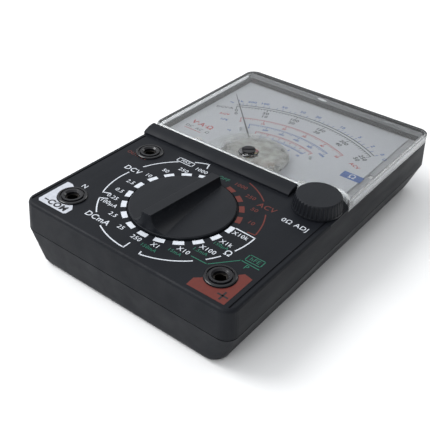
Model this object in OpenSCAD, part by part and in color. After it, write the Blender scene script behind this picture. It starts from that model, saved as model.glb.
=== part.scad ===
// Analog multimeter, hand-held, moving-coil movement under a clear cover.
// Millimetres. Origin at the middle of the back face, +Y towards the window, +Z out of the dial.

/* [Case] */
// Width of the case at its seam
body_w = 100; // [98:0.5:104]
// Length of the case at its seam
body_l = 151; // [150:0.5:156]
// Height of the control panel above the back face
panel_z = 28; // [28:0.5:30]
// Height of the seam between the two shells
seam_z = 15.5; // [14:0.5:17]
// Wall thickness of the shells
wall = 2; // [1.6:0.1:2.4]
// Radius of the upright corners
corner_r = 5; // [4:0.5:7]
// How far each side wall of the rear shell leans in
rear_taper = 6; // [3:0.1:6.2]

/* [Window] */
// Height of the clear cover above the panel
cover_rise = 3; // [2.6:0.1:4]
// Thickness of the clear cover
cover_t = 1.6; // [1.2:0.1:1.8]
// Front edge of the clear cover
cover_front_y = -1; // [-2:0.1:0]
// Right end of the bar in front of the cover
bar_end_x = 27; // [25:0.5:28]
// Depth of the scale plate below the panel
plate_drop = 2.8; // [2.6:0.1:3]

/* [Movement] */
// Sideways place of the movement
movement_x = -2.3; // [-2.5:0.1:-2]
// Place of the pointer pivot along the case
pivot_y = 11; // [10.5:0.1:11.5]
// Distance from the zero screw to the pivot
zero_offset = 4.5; // [4.2:0.1:5]
// Eccentricity of the pin on the zero screw
zero_throw = 1; // [0.8:0.1:1.1]
// Resting direction of the pointer, degrees from +X
pointer_rest = 134; // [130:1:136]
// Length of the pointer from the pivot
pointer_l = 58; // [50:1:59]

/* [Range switch] */
// Place of the range switch along the case
switch_y = -39.3; // [-40:0.1:-39]
// Radius of the range knob's disc
knob_r = 20.6; // [20:0.1:21]
// Number of switch positions
positions = 20; // [12:4:24]
// Height of the grip's tall end above the panel
grip_h = 8; // [6:0.5:8]
// Height of the grip's low end above the panel
grip_low_h = 4.6; // [4:0.1:6]
// Half of the width of the grip's top edge
grip_half_w = 2.1; // [1.5:0.1:3]
// Radius of the scoops beside the grip
scoop_r = 7.2; // [7:0.1:14]

/* [Adjusting knob] */
// Place of the adjusting knob across the case
adjust_x = 39.3; // [38:0.1:39.5]
// Place of the adjusting knob along the case
adjust_y = -6; // [-7:0.1:-5]
// Radius of the adjusting knob at its foot
adjust_r = 9.9; // [9:0.1:10]
// Height of the adjusting knob above the panel
adjust_h = 6; // [5:0.5:7]
// Number of ribs on the adjusting knob
adjust_ribs = 36; // [24:2:48]

/* [Jacks] */
// Radius of the socket for a 4 mm plug
socket_r = 2.05; // [2.02:0.01:2.1]
// Depth of the brass socket
socket_l = 12; // [10:0.5:13]

/* [Hidden] */

fine = 64;
half_w = body_w / 2;
half_l = body_l / 2;
cover_top_z = panel_z + cover_rise;
cover_in_z = cover_top_z - cover_t;
cover_foot_z = panel_z - 1.2;
cover_half_w = half_w - 0.7;
cover_back_y = half_l - 1.6;
cover_corner_r = 4.2;
panel_under_z = panel_z - wall;
ear_r = 12;
bar_front_y = -7.5;
bar_rise = 2.8;
bar_curve_r = 11;
plate_top_z = panel_z - plate_drop;
plate_t = 0.6;
plate_half_w = 44;
plate_y0 = 2;
plate_y1 = 69.5;
well_half_w = 47.2;
well_y0 = 0.6;
well_y1 = 72.2;
pivot = [movement_x, pivot_y];
screw_at = [movement_x, pivot_y - zero_offset];
board_z = 20.4;
board_t = 1.6;
board_top_z = board_z + board_t;
disc_rise = 1;
rotor_r = 17.4;
rotor_z0 = 23.4;
rotor_z1 = 25.6;
detent_ring_r = 18.5;
ball_r = 1.2;
ball_seat_r = 17.25;
notch_seat_r = 17.8;
socket_mouth_z = panel_z - 0.6;
socket_wall = 0.95;
jacks = [[-36.5, -61.6], [35.6, -62.2], [-36.2, -17.8]];
case_screw_at = [[-20, -66], [20, -66]];
board_screw_at = [[-42.5, -38], [42.5, -38], [0, -63.2]];
plate_screw_at = [[movement_x - 27, 6], [movement_x + 27, 6]];
frame_screw_at = [[-43.5, 31], [43.5, 31]];
ring_r = 16;
ring_bore_r = 9.6;
ring_z0 = 8;
ring_z1 = 22;
core_r = 6.5;
core_z0 = 8.4;
core_z1 = 19.8;
coil_in_r = 7.1;
coil_out_r = 8.9;
coil_z0 = 6.6;
coil_z1 = 21.8;
coil_w = 4;
spindle_r = 0.5;
jewel_gap = 0.06;
lower_jewel_top_z = 6;
pointer_z = 26;
lever_z = 28.18;
bridge_z = 27.3;
bridge_t = 0.8;
cell_r = 7.1;
cell_l = 49;
cell_z = 9.6;
cell_x0 = -41.5;
cell_ys = [64.2, 49.4];
block_x = 14.5;
block_y = 23.5;
block_z = 2.4;
block_size = [26, 46, 17];
fuse_at = [-33, -40, 16.9];
battery_wire_routes = [
    [[-43.4, 54, 16.2], [-44, 40, 17], [-43, 20, 16], [-42, 0, 16], [-41, -12, 17.4], [-41, -13, 20]],
    [[27, 20.6, 8], [30, 10, 7], [36, 0, 9], [40, -10, 14], [41, -17, 17.4], [41, -18, 20]],
    [[22, 20.6, 8], [24, 10, 6], [30, -4, 7], [35, -16, 12], [36, -22, 17.4], [36, -23, 20]]
];
movement_wire_routes = [
    [[-12, 10, 4.1], [-17, 5, 3.5], [-22, -1, 4], [-23, -10, 9], [-22, -18, 16.5], [-22, -19, 20.1]],
    [[8, 10, 4.1], [12, 5, 3.5], [17, -1, 4], [18, -10, 9], [17, -18, 16.5], [17, -19, 20.1]]
];
resistor_count = 14;

// Rounded rectangle centred on the origin, w by l, corner radius r
module rounded_rect(w, l, r) {
    union() {
        square([w - 2 * r, l], center = true);
        square([w, l - 2 * r], center = true);
        for (x = [-1, 1], y = [-1, 1])
            translate([x * (w / 2 - r), y * (l / 2 - r)]) circle(r = r, $fn = fine);
    }
}

// One thin level of a hulled shell: half sizes x, low y, high y, corner radius r, height z
module level(x, y0, y1, r, z) {
    for (cx = [-1, 1], cy = [y0 + r, y1 - r])
        translate([cx * (x - r), cy, z]) cylinder(r = r, h = 0.02, $fn = 32);
}

module ring(r0, r1, z0, z1) {
    difference() {
        translate([0, 0, z0]) cylinder(r = r1, h = z1 - z0, $fn = fine);
        translate([0, 0, z0 - 1]) cylinder(r = r0, h = z1 - z0 + 2, $fn = fine);
    }
}

module post(at, r, z0, z1) {
    translate([at[0], at[1], z0]) cylinder(r = r, h = z1 - z0, $fn = 32);
}

// Slotted or plain screw seen from its head, shank pointing down
module slotted_screw(at, head_r, head_h, shank_r, z_top, z_end) {
    difference() {
        union() {
            post(at, head_r, z_top - head_h, z_top);
            post(at, shank_r, z_end, z_top - head_h);
        }
        translate([at[0] - head_r, at[1] - 0.35, z_top - head_h * 0.4])
            cube([2 * head_r, 0.7, head_h]);
    }
}

// Screw with its head below and its shank pointing up
module screw_from_below(at, head_r, head_h, shank_r, z_bottom, z_end) {
    difference() {
        union() {
            post(at, head_r, z_bottom, z_bottom + head_h);
            post(at, shank_r, z_bottom + head_h, z_end);
        }
        for (a = [0, 90])
            translate([at[0], at[1], z_bottom]) rotate(a)
                cube([head_r * 1.2, 0.6, head_h], center = true);
    }
}

function unit(v) = v / norm(v);
function side_of(t) = unit(cross(t, abs(t[2]) > 0.9 ? [1, 0, 0] : [0, 0, 1]));
function tangent(p, i) =
    unit(p[min(i + 1, len(p) - 1)] - p[max(i - 1, 0)]);

// Round tube through the points p, radius r, with n sides
module tube_along(p, r, n) {
    rings = [for (i = [0:len(p) - 1])
        let (t = tangent(p, i), u = side_of(t), v = cross(t, u))
            for (k = [0:n - 1]) p[i] + r * (cos(360 * k / n) * u + sin(360 * k / n) * v)];
    last = len(p) - 1;
    polyhedron(points = rings, faces = concat(
        [[for (k = [0:n - 1]) k]],
        [for (i = [0:last - 1], k = [0:n - 1])
            [i * n + (k + 1) % n, i * n + k, (i + 1) * n + k]],
        [for (i = [0:last - 1], k = [0:n - 1])
            [i * n + (k + 1) % n, (i + 1) * n + k, (i + 1) * n + (k + 1) % n]],
        [[for (k = [n - 1:-1:0]) last * n + k]]));
}

// Points of a smooth curve through the route q, steps points for each stretch
function spline(q, steps) = [for (i = [0:len(q) - 2], s = [0:steps - 1])
    let (a = q[max(i - 1, 0)], b = q[i], c = q[i + 1], d = q[min(i + 2, len(q) - 1)], u = s / steps)
        0.5 * (2 * b + (c - a) * u + (2 * a - 5 * b + 4 * c - d) * u * u
            + (3 * b - a - 3 * c + d) * u * u * u)];
module wire(q, r) { tube_along(concat(spline(q, 4), [q[len(q) - 1]]), r, 8); }

// Points of a helix along +Z whose radius runs from r0 to r1
function helix(r0, r1, h, turns, n) = [for (i = [0:turns * n])
    let (u = i / (turns * n), r = r0 + (r1 - r0) * u)
        [r * cos(360 * i / n), r * sin(360 * i / n), h * u]];

// Flat spiral strip of an Archimedean hairspring
module hairspring_shape(r0, r1, turns, strip, a0) {
    n = 20;
    last = turns * n;
    inner = [for (i = [0:last]) let (r = r0 + (r1 - r0) * i / last, a = a0 + 360 * i / n)
        r * [cos(a), sin(a)]];
    outer = [for (i = [last:-1:0]) let (r = r0 + strip + (r1 - r0) * i / last, a = a0 + 360 * i / n)
        r * [cos(a), sin(a)]];
    polygon(concat(inner, outer));
}

// Outside of the front shell from the seam to the panel, with a softened top edge
module front_outside() {
    hull() {
        level(half_w, -half_l, half_l, corner_r, seam_z);
        level(half_w - 0.65, -half_l + 0.5, half_l - 0.4, corner_r - 0.1, panel_z - 1.2);
        level(half_w - 0.95, -half_l + 0.8, half_l - 0.6, corner_r - 0.3, panel_z - 0.4);
        level(half_w - 1.5, -half_l + 1.4, half_l - 1.1, corner_r - 0.6, panel_z - 0.02);
    }
}

module adjust_ear(r) {
    intersection() {
        translate([adjust_x, adjust_y]) circle(r = r, $fn = fine);
        translate([0, -20]) square([cover_half_w, 60]);
    }
}

// Cross-section of the bar: a short upright front under a gently curved top
module bar_profile() {
    intersection() {
        translate([cover_front_y - 0.5, panel_z + bar_rise - bar_curve_r])
            circle(r = bar_curve_r, $fn = 128);
        translate([bar_front_y, panel_z - 1]) square([cover_front_y - bar_front_y, bar_rise + 1]);
    }
}

module window_outline(inset) {
    difference() {
        translate([0, (cover_front_y + cover_back_y) / 2])
            rounded_rect(2 * (cover_half_w - inset), cover_back_y - cover_front_y - 2 * inset,
                cover_corner_r - inset);
        translate([adjust_x, adjust_y]) circle(r = ear_r + inset, $fn = fine);
    }
}

module detent_ring() {
    difference() {
        ring(detent_ring_r, detent_ring_r + 1.8, 23.6, panel_under_z);
        for (i = [0:positions - 1]) rotate(90 + i * 360 / positions) translate([notch_seat_r, 0, 23])
            cylinder(r = ball_r + 0.1, h = 2.7, $fn = 24);
    }
}

module front_case() color([0.17, 0.18, 0.19]) {
    well_shift = (well_y0 + well_y1) / 2;
    difference() {
        union() {
            difference() {
                front_outside();
                translate([-body_w, cover_front_y, cover_foot_z]) cube([2 * body_w, body_l, 10]);
            }
            translate([-cover_half_w + 0.4, 0, 0]) rotate([90, 0, 90])
                linear_extrude(cover_half_w - 0.4 + bar_end_x) bar_profile();
            translate([0, 0, cover_foot_z]) linear_extrude(cover_top_z - 0.4 - cover_foot_z) difference() {
                rounded_rect(body_w - 1.6, body_l - 0.8, corner_r - 0.1);
                window_outline(0);
                translate([-body_w, -body_l]) square([2 * body_w, body_l + half_l - 8]);
            }
            translate([0, 0, panel_under_z]) linear_extrude(wall) adjust_ear(ear_r);
        }
        translate([0, 0, seam_z - 1]) linear_extrude(panel_under_z - seam_z + 1)
            rounded_rect(body_w - 5, body_l - 5, corner_r - 2);
        translate([0, 0, panel_under_z - 1]) linear_extrude(10) difference() {
            translate([0, well_shift]) square([2 * well_half_w, well_y1 - well_y0], center = true);
            adjust_ear(ear_r + 1.6);
        }
        translate([0, switch_y, panel_z - 0.6]) cylinder(r = knob_r + 0.8, h = 2, $fn = fine);
        translate([0, switch_y, 20]) cylinder(r = 9.06, h = 10, $fn = fine);
        translate([adjust_x, adjust_y, 20]) cylinder(r = 3.06, h = 10, $fn = fine);
        for (at = jacks) translate([at[0], at[1], 20]) cylinder(r = 4.65, h = 10, $fn = fine);
        for (x = [-1, 1]) translate([x * (half_w - 3) - 0.35, -half_l + 3, panel_z - 0.4])
            cube([0.7, half_l - 11.5, 2]);
    }
    translate([0, switch_y, 0]) detent_ring();
    for (at = case_screw_at) translate([at[0], at[1], 0]) ring(1.25, 3.2, seam_z + 0.6, panel_under_z);
    for (at = board_screw_at) translate([at[0], at[1], 0]) ring(1.05, 2.4, board_top_z, panel_under_z);
    for (at = frame_screw_at) difference() {
        translate([at[0] < 0 ? -48 : 40.8, at[1] - 6, 20]) cube([7.2, 12, 2.2]);
        translate([at[0], at[1], 19]) cylinder(r = 1.3, h = 5, $fn = 32);
    }
}

module rear_case() color([0.19, 0.2, 0.21]) {
    difference() {
        union() {
            difference() {
                hull() {
                    level(half_w, -half_l, half_l, corner_r, seam_z - 0.34);
                    level(half_w - rear_taper * 0.82, -half_l + 1.4, half_l - 0.9, corner_r, 2.2);
                    level(half_w - rear_taper, -half_l + 2, half_l - 1.4, corner_r, 0.8);
                    level(half_w - rear_taper - 1, -half_l + 3, half_l - 2.4, corner_r - 0.5, 0);
                }
                hull() {
                    level(half_w - 2.2, -half_l + 2.2, half_l - 2.2, corner_r - 1.5, seam_z + 1);
                    level(half_w - rear_taper - 1.9, -half_l + 3.8, half_l - 3.4,
                        corner_r - 1.5, wall + 0.2);
                }
            }
            for (at = case_screw_at) post(at, 4.4, 1, seam_z + 0.3);
            translate([0, 0, seam_z - 2]) linear_extrude(4.4) difference() {
                rounded_rect(body_w - 5.3, body_l - 5.3, corner_r - 2.1);
                rounded_rect(body_w - 7.3, body_l - 7.3, corner_r - 3);
            }
            translate([-12.5, cell_ys[1] - cell_r - 2, wall])
                cube([2, 2 * cell_r + cell_ys[0] - cell_ys[1] + 3.6, 3]);
            translate([block_x - 2.2, block_y - 1.8, wall]) cube([1.6, 44, 8]);
        }
        for (at = case_screw_at) {
            post(at, 3.1, -1, 8);
            post(at, 1.7, 7, seam_z + 1);
        }
        for (y = cell_ys) translate([cell_x0, y, cell_z]) rotate([0, 90, 0])
            cylinder(r = cell_r + 0.3, h = cell_l, $fn = fine);
    }
}

module case_screws() color("silver")
    for (at = case_screw_at) screw_from_below(at, 2.8, 2, 1.25, 6, 22);

module window_cover() color([0.8, 0.85, 0.88, 0.4]) {
    difference() {
        union() {
            difference() {
                translate([0, 0, cover_foot_z]) linear_extrude(cover_top_z - cover_foot_z) window_outline(0);
                translate([0, 0, cover_foot_z - 1]) linear_extrude(cover_in_z - cover_foot_z + 1)
                    window_outline(cover_t);
            }
            translate([screw_at[0], screw_at[1], 0]) ring(1.5, 4.4, cover_in_z - 0.2, cover_top_z + 0.3);
        }
        post(screw_at, 2.0, cover_in_z - 2, cover_top_z + 2);
    }
}

module zero_adjust_screw() color([0.1, 0.1, 0.1]) {
    difference() {
        union() {
            post(screw_at, 2.9, cover_top_z + 0.35, cover_top_z + 0.95);
            post(screw_at, 1.95, cover_in_z - 0.6, cover_top_z + 0.35);
            post(screw_at, 2.3, cover_in_z - 0.6, cover_in_z - 0.25);
            post([screw_at[0], screw_at[1] - zero_throw], 0.5, lever_z - 0.15, cover_in_z - 0.6);
        }
        translate([screw_at[0], screw_at[1], cover_top_z + 1.05]) rotate(40)
            cube([8, 0.9, 0.9], center = true);
    }
}

module scale_plate() color([0.93, 0.93, 0.9])
    translate([0, 0, plate_top_z - plate_t]) linear_extrude(plate_t) difference() {
        translate([movement_x - plate_half_w, plate_y0]) square([2 * plate_half_w, plate_y1 - plate_y0]);
        translate(pivot) circle(r = 15, $fn = fine);
        translate([adjust_x, adjust_y]) circle(r = ear_r + 3, $fn = fine);
        for (at = plate_screw_at) translate(at) circle(r = 1.1, $fn = 24);
    }

module plate_screws() color("silver")
    for (at = plate_screw_at) slotted_screw(at, 2, 0.8, 1, plate_top_z + 0.8, plate_top_z - plate_t - 1.6);

module movement_frame() color([0.2, 0.2, 0.2]) {
    deck_z0 = 22.4;
    deck_z1 = plate_top_z - plate_t;
    difference() {
        union() {
            translate([0, 0, deck_z0]) linear_extrude(deck_z1 - deck_z0) difference() {
                translate([-47, 2.6]) square([94, 69]);
                translate([adjust_x, adjust_y]) circle(r = ear_r + 3.4, $fn = fine);
                translate([movement_x - 32, 34]) square([64, 28]);
            }
            translate([pivot[0], pivot[1], 0]) ring(ring_r, ring_r + 1.8, 4.4, deck_z1);
            translate([pivot[0], pivot[1], 0]) ring(13.6, ring_r + 1, ring_z0 - 1.4, ring_z0);
        }
        post(pivot, ring_r, ring_z0, 40);
        for (at = plate_screw_at) post(at, 1.0, deck_z0 - 1, 40);
        for (at = frame_screw_at) post(at, 1.5, deck_z0 - 1, 40);
    }
}

module movement_screws() color("silver")
    for (at = frame_screw_at) screw_from_below(at, 2.4, 1.2, 1.25, 18.8, 24.3);

module return_ring() color([0.55, 0.56, 0.58])
    translate([pivot[0], pivot[1], 0]) ring(ring_bore_r, ring_r, ring_z0, ring_z1);

module core_magnet() color([0.35, 0.36, 0.38]) post(pivot, core_r, core_z0, core_z1);

module core_supports() color([0.8, 0.65, 0.3])
    translate([pivot[0], pivot[1], 0]) intersection() {
        ring(core_r, ring_bore_r, core_z0 + 2, core_z1 - 2);
        translate([-1.5, -12, 0]) cube([3, 24, 30]);
    }

// The coil's plane lies across the pointer's direction
module moving_coil() color([0.72, 0.4, 0.2])
    translate([pivot[0], pivot[1], 0]) rotate(pointer_rest - 90) difference() {
        translate([-coil_out_r, -coil_w / 2, coil_z0])
            cube([2 * coil_out_r, coil_w, coil_z1 - coil_z0]);
        translate([-coil_in_r, -coil_w, coil_z0 + 1.2])
            cube([2 * coil_in_r, 2 * coil_w, coil_z1 - coil_z0 - 2.4]);
    }

module coil_spindles() color("silver") {
    post(pivot, spindle_r, coil_z1, bridge_z + 0.1);
    post(pivot, spindle_r, lower_jewel_top_z - 0.4, coil_z0);
}

module pointer() color([0.08, 0.08, 0.08])
    translate([pivot[0], pivot[1], pointer_z]) rotate(pointer_rest) union() {
        difference() {
            cylinder(r = 1.6, h = 0.6, $fn = 32);
            translate([0, 0, -1]) cylinder(r = spindle_r, h = 3, $fn = 32);
        }
        linear_extrude(0.3) difference() {
            polygon([
                [-7, -0.35], [0, -0.9], [8, -0.45], [pointer_l, -0.12],
                [pointer_l, 0.12], [8, 0.45], [0, 0.9], [-7, 0.35]
            ]);
            circle(r = 1.2, $fn = 32);
        }
    }

module balance_arms() color([0.75, 0.75, 0.72])
    translate([pivot[0], pivot[1], pointer_z - 0.5]) rotate(pointer_rest) {
        linear_extrude(0.4) difference() {
            union() {
                square([0.8, 9], center = true);
                circle(r = 1.4, $fn = 32);
            }
            circle(r = spindle_r, $fn = 32);
        }
        for (y = [-1, 1]) translate([0, y * 4.5, 0.2]) rotate([90, 0, 0])
            cylinder(r = 0.7, h = 1.4, center = true, $fn = 24);
    }

module upper_hairspring() color([0.75, 0.6, 0.3])
    translate([pivot[0], pivot[1], pointer_z + 0.62]) linear_extrude(0.35)
        hairspring_shape(0.62, 2.7, 4, 0.16, 270);

module lower_hairspring() color([0.75, 0.6, 0.3])
    translate([pivot[0], pivot[1], coil_z0 - 0.42]) linear_extrude(0.35)
        hairspring_shape(0.62, 2.7, 4, 0.16, 90);

module upper_bridge() color([0.7, 0.7, 0.68])
    translate([pivot[0], pivot[1], 0]) difference() {
        union() {
            translate([-14, -2, bridge_z]) cube([28, 4, bridge_t]);
            for (x = [-1, 1]) post([x * 12.4, 0], 1.6, ring_z1, bridge_z);
        }
        post([0, 0], 1.5, bridge_z - 1, bridge_z + 3);
    }

module lower_bridge() color([0.7, 0.7, 0.68])
    translate([pivot[0], pivot[1], 0]) difference() {
        union() {
            translate([-12.9, -2, 4.9]) cube([25.8, 4, 0.8]);
            for (x = [-1, 1]) post([x * 11.4, 0], 1.4, 5.7, ring_z0);
        }
        post([0, 0], 1.5, 3, 7);
    }

module jewel_bearings() color([0.8, 0.2, 0.3]) translate([pivot[0], pivot[1], 0]) {
    difference() {
        union() {
            post([0, 0], 1.5, bridge_z - 0.25, lever_z + 0.4);
            post([0, 0], 2.0, lever_z + 0.4, lever_z + 0.7);
        }
        post([0, 0], spindle_r + jewel_gap, bridge_z - 1, bridge_z + 0.2);
    }
    difference() {
        post([0, 0], 1.5, 4.2, lower_jewel_top_z);
        post([0, 0], spindle_r + jewel_gap, lower_jewel_top_z - 0.5, lower_jewel_top_z + 1);
    }
}

// Turns about the pivot; its fork straddles the eccentric pin of the zero screw
module zero_lever() color([0.8, 0.65, 0.3]) translate([pivot[0], pivot[1], lever_z]) {
    pin_y = -zero_offset - zero_throw;
    linear_extrude(0.3) difference() {
        union() {
            circle(r = 2.8, $fn = fine);
            translate([-1.4, pin_y - 1.2]) square([2.8, -pin_y - 1.2]);
        }
        circle(r = 1.5 + jewel_gap, $fn = fine);
        translate([-0.56, pin_y - 2]) square([1.12, 3.2]);
    }
    post([0, -3.3], 0.3, -1.5, 0);
}

module pointer_stops() color([0.75, 0.75, 0.72]) {
    for (a = [pointer_rest + 6.4, pointer_rest - 96.4])
        translate([pivot[0], pivot[1], 0]) rotate(a) post([24, 0], 0.6, plate_top_z, pointer_z + 1);
}

module board_outline() {
    difference() {
        union() {
            translate([-46, -66]) square([92, 57]);
            translate([29.5, -12]) square([16.5, 14]);
        }
        for (at = jacks) translate(at) circle(r = socket_r + socket_wall, $fn = 32);
        for (at = case_screw_at) translate(at) circle(r = 5, $fn = 32);
        for (at = board_screw_at) translate(at) circle(r = 1.3, $fn = 24);
        translate(pivot) circle(r = ring_r + 3, $fn = fine);
    }
}

module circuit_board() color([0.55, 0.5, 0.3])
    translate([0, 0, board_z]) linear_extrude(board_t) board_outline();

module board_screws() color("silver")
    for (at = board_screw_at) screw_from_below(at, 2.2, 1.2, 1.05, board_z - 1.2, 25);

// Cross-section of the grip below its top edge, scooped on both sides
module grip_section() {
    depth = grip_h - disc_rise;
    scoop_x = grip_half_w + sqrt(scoop_r * scoop_r - pow(scoop_r - depth, 2));
    difference() {
        translate([-scoop_x, -depth - 1]) square([2 * scoop_x, depth + 1]);
        for (x = [-1, 1]) translate([x * scoop_x, scoop_r - depth]) circle(r = scoop_r, $fn = 96);
    }
}

// Grip whose top edge slopes from the tall end at -Y to the low end at +Y
module grip() {
    slope = atan((grip_h - grip_low_h) / (2 * knob_r));
    intersection() {
        translate([0, 0, panel_z + (grip_h + grip_low_h) / 2]) rotate([-slope, 0, 0])
            translate([0, knob_r + 2, 0]) rotate([90, 0, 0]) linear_extrude(2 * knob_r + 4) grip_section();
        translate([0, 0, panel_z + 0.6]) cylinder(r = knob_r - 0.2, h = 20, $fn = 96);
    }
}

// Disc with a bar grip; the hub turns in the panel's bore
module range_knob() color([0.13, 0.14, 0.15]) translate([0, switch_y, 0]) difference() {
    union() {
        rotate_extrude($fn = 96) polygon([
            [0, panel_z - 0.5], [knob_r, panel_z - 0.5], [knob_r, panel_z + 0.6],
            [knob_r - 0.4, panel_z + disc_rise], [0, panel_z + disc_rise]
        ]);
        post([0, 0], 9, rotor_z1, panel_z - 0.5);
        grip();
    }
    post([0, 0], 1.25, rotor_z1 - 1, panel_z + disc_rise);
}

module switch_rotor() color([0.85, 0.82, 0.7]) translate([0, switch_y, 0]) difference() {
    post([0, 0], rotor_r, rotor_z0, rotor_z1);
    post([0, 0], 1.6, rotor_z0 - 1, rotor_z1 + 1);
    post([0, 0], 2.7, rotor_z0 - 1, rotor_z0 + 0.9);
    for (a = [90, 270]) rotate(a) translate([8, 0, 24.6]) rotate([0, 90, 0])
        cylinder(r = ball_r + 0.05, h = 20, $fn = 32);
}

module rotor_screw() color("silver") translate([0, switch_y, 0])
    screw_from_below([0, 0], 2.6, 0.8, 1.2, rotor_z0 + 0.1, panel_z + 0.8);

module wiper_contacts() color([0.8, 0.6, 0.3]) translate([0, switch_y, 0])
    for (r = [7.5, 10.5, 13.5]) for (a = [180, 300]) rotate(a) translate([r, 0, 0]) {
        translate([-0.6, -1.5, rotor_z0 - 0.3]) cube([1.2, 6, 0.3]);
        translate([-0.6, -1.5, board_top_z + 0.6]) cube([1.2, 0.3, rotor_z0 - 0.3 - board_top_z - 0.6]);
        translate([-0.6, -0.9, board_top_z + 0.65]) rotate([0, 90, 0]) cylinder(r = 0.6, h = 1.2, $fn = 24);
    }

module detent_balls() color("silver") translate([0, switch_y, 24.6])
    for (a = [90, 270]) rotate(a) translate([ball_seat_r, 0, 0]) sphere(r = ball_r, $fn = 32);

module detent_springs() color("silver") translate([0, switch_y, 24.6])
    for (a = [90, 270]) rotate(a) translate([8.2, 0, 0]) rotate([0, 90, 0])
        tube_along(helix(0.8, 0.8, 7.8, 5, 10), 0.2, 6);

module potentiometer_body() color([0.3, 0.3, 0.35]) translate([adjust_x, adjust_y, 0]) difference() {
    union() {
        post([0, 0], 7.8, board_top_z, panel_under_z - 0.1);
        translate([-4, -7.7, board_top_z]) cube([8, 3, 1.2]);
    }
    post([0, 0], 3.05, board_top_z + 0.6, panel_z);
}

module potentiometer_shaft() color("silver")
    post([adjust_x, adjust_y], 3, board_top_z + 0.7, panel_z + adjust_h - 1.4);

module ohm_adjust_knob() color([0.12, 0.12, 0.13]) translate([adjust_x, adjust_y, 0]) difference() {
    rotate_extrude($fn = 96) polygon([
        [3, panel_z + 0.2], [adjust_r, panel_z + 0.2], [adjust_r, panel_z + 1],
        [adjust_r - 0.9, panel_z + adjust_h - 0.5], [adjust_r - 1.4, panel_z + adjust_h],
        [0, panel_z + adjust_h], [0, panel_z + adjust_h - 1.4], [3, panel_z + adjust_h - 1.4]
    ]);
    for (i = [0:adjust_ribs - 1]) rotate(i * 360 / adjust_ribs)
        translate([adjust_r + 0.15, 0, panel_z + 1]) rotate([0, -10.5, 0])
            cylinder(r = 0.58, h = adjust_h + 1, $fn = 16);
}

module jack_collars() color([0.07, 0.07, 0.08])
    for (at = jacks) translate([at[0], at[1], 0]) rotate_extrude($fn = 64) polygon([
        [socket_r + socket_wall, 22.3], [4.6, 22.3], [4.6, panel_z], [5.8, panel_z],
        [5.8, panel_z + 0.5], [5.5, panel_z + 0.7], [4.9, panel_z + 0.7], [4.7, panel_z + 0.1],
        [4.3, panel_z + 0.1], [4.1, panel_z + 0.9], [3.3, panel_z + 0.9], [2.6, panel_z + 0.3],
        [2.6, socket_mouth_z], [socket_r + socket_wall, socket_mouth_z]
    ]);

module jack_sleeves() color([0.85, 0.7, 0.35])
    for (at = jacks) translate([at[0], at[1], 0])
        ring(socket_r, socket_r + socket_wall, socket_mouth_z - socket_l, socket_mouth_z);

module jack_nuts() color("silver")
    for (at = jacks) translate([at[0], at[1], 0]) difference() {
        translate([0, 0, 23.4]) cylinder(r = 6.4, h = panel_under_z - 23.4, $fn = 6);
        post([0, 0], 4.6, 20, 30);
    }

module fuse() color([0.85, 0.85, 0.85]) translate(fuse_at) rotate([90, 0, 0]) {
    cylinder(r = 2.3, h = 10.4, center = true, $fn = 32);
    for (z = [-7.6, 7.6]) translate([0, 0, z]) cylinder(r = 2.6, h = 4.8, center = true, $fn = 32);
}

module fuse_clips() color([0.8, 0.8, 0.75])
    for (y = [-7.6, 7.6]) translate([fuse_at[0], fuse_at[1] + y, fuse_at[2]]) {
        rotate([90, 0, 0]) linear_extrude(3.6, center = true) difference() {
            circle(r = 3, $fn = 32);
            circle(r = 2.6, $fn = 32);
            translate([-1.5, -4]) square([3, 3]);
        }
        translate([-1, -1.8, 2.9]) cube([2, 3.6, board_z - fuse_at[2] - 2.9]);
    }

module round_cells() color([0.75, 0.2, 0.15])
    for (i = [0, 1]) translate([cell_x0 + cell_l / 2, cell_ys[i], cell_z]) rotate([0, 90 - 180 * i, 0]) {
        translate([0, 0, -cell_l / 2]) cylinder(r = cell_r - 0.05, h = cell_l - 1.2, $fn = fine);
        translate([0, 0, cell_l / 2 - 1.2]) cylinder(r = 2.75, h = 1.2, $fn = 32);
    }

module cell_contacts() color("silver") {
    for (i = [0, 1]) {
        plus_x = i == 0 ? cell_x0 + cell_l : cell_x0 - 0.5;
        translate([plus_x, cell_ys[i] - 5, 4.6]) cube([0.5, 10, 10.8]);
    }
    translate([cell_x0 - 1.2, cell_ys[0] - 5, 4.6]) cube([0.5, 10, 10.8]);
    translate([cell_x0 + cell_l + 0.8, cell_ys[1] - 5, 4.6]) cube([0.5, 10, 10.8]);
}

module cell_springs() color("silver") {
    translate([cell_x0 - 0.5, cell_ys[0], cell_z]) rotate([0, 90, 0])
        tube_along(helix(4, 2.6, 0.2, 2, 16), 0.14, 6);
    translate([cell_x0 + cell_l + 0.6, cell_ys[1], cell_z]) rotate([0, -90, 0])
        tube_along(helix(4, 2.6, 0.2, 2, 16), 0.14, 6);
}

module block_battery() color([0.2, 0.25, 0.5]) translate([block_x, block_y, block_z]) {
    cube(block_size);
    for (x = [6.6, 19.4]) translate([x, 0, 8.5]) rotate([90, 0, 0])
        cylinder(r = x < 10 ? 2.8 : 3.6, h = 1.2, $fn = 32);
}

module snap_connector() color([0.1, 0.1, 0.1])
    translate([block_x + 1, block_y - 2.1, block_z + 3.5]) difference() {
        cube([24, 2, 10]);
        for (x = [5.6, 18.4]) translate([x, 3, 5]) rotate([90, 0, 0])
            cylinder(r = x < 10 ? 2.9 : 3.7, h = 2.2, $fn = 32);
    }

module battery_wires() color([0.7, 0.1, 0.1]) for (q = battery_wire_routes) wire(q, 0.6);

module movement_wires() color([0.1, 0.3, 0.6]) for (q = movement_wire_routes) wire(q, 0.5);

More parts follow.
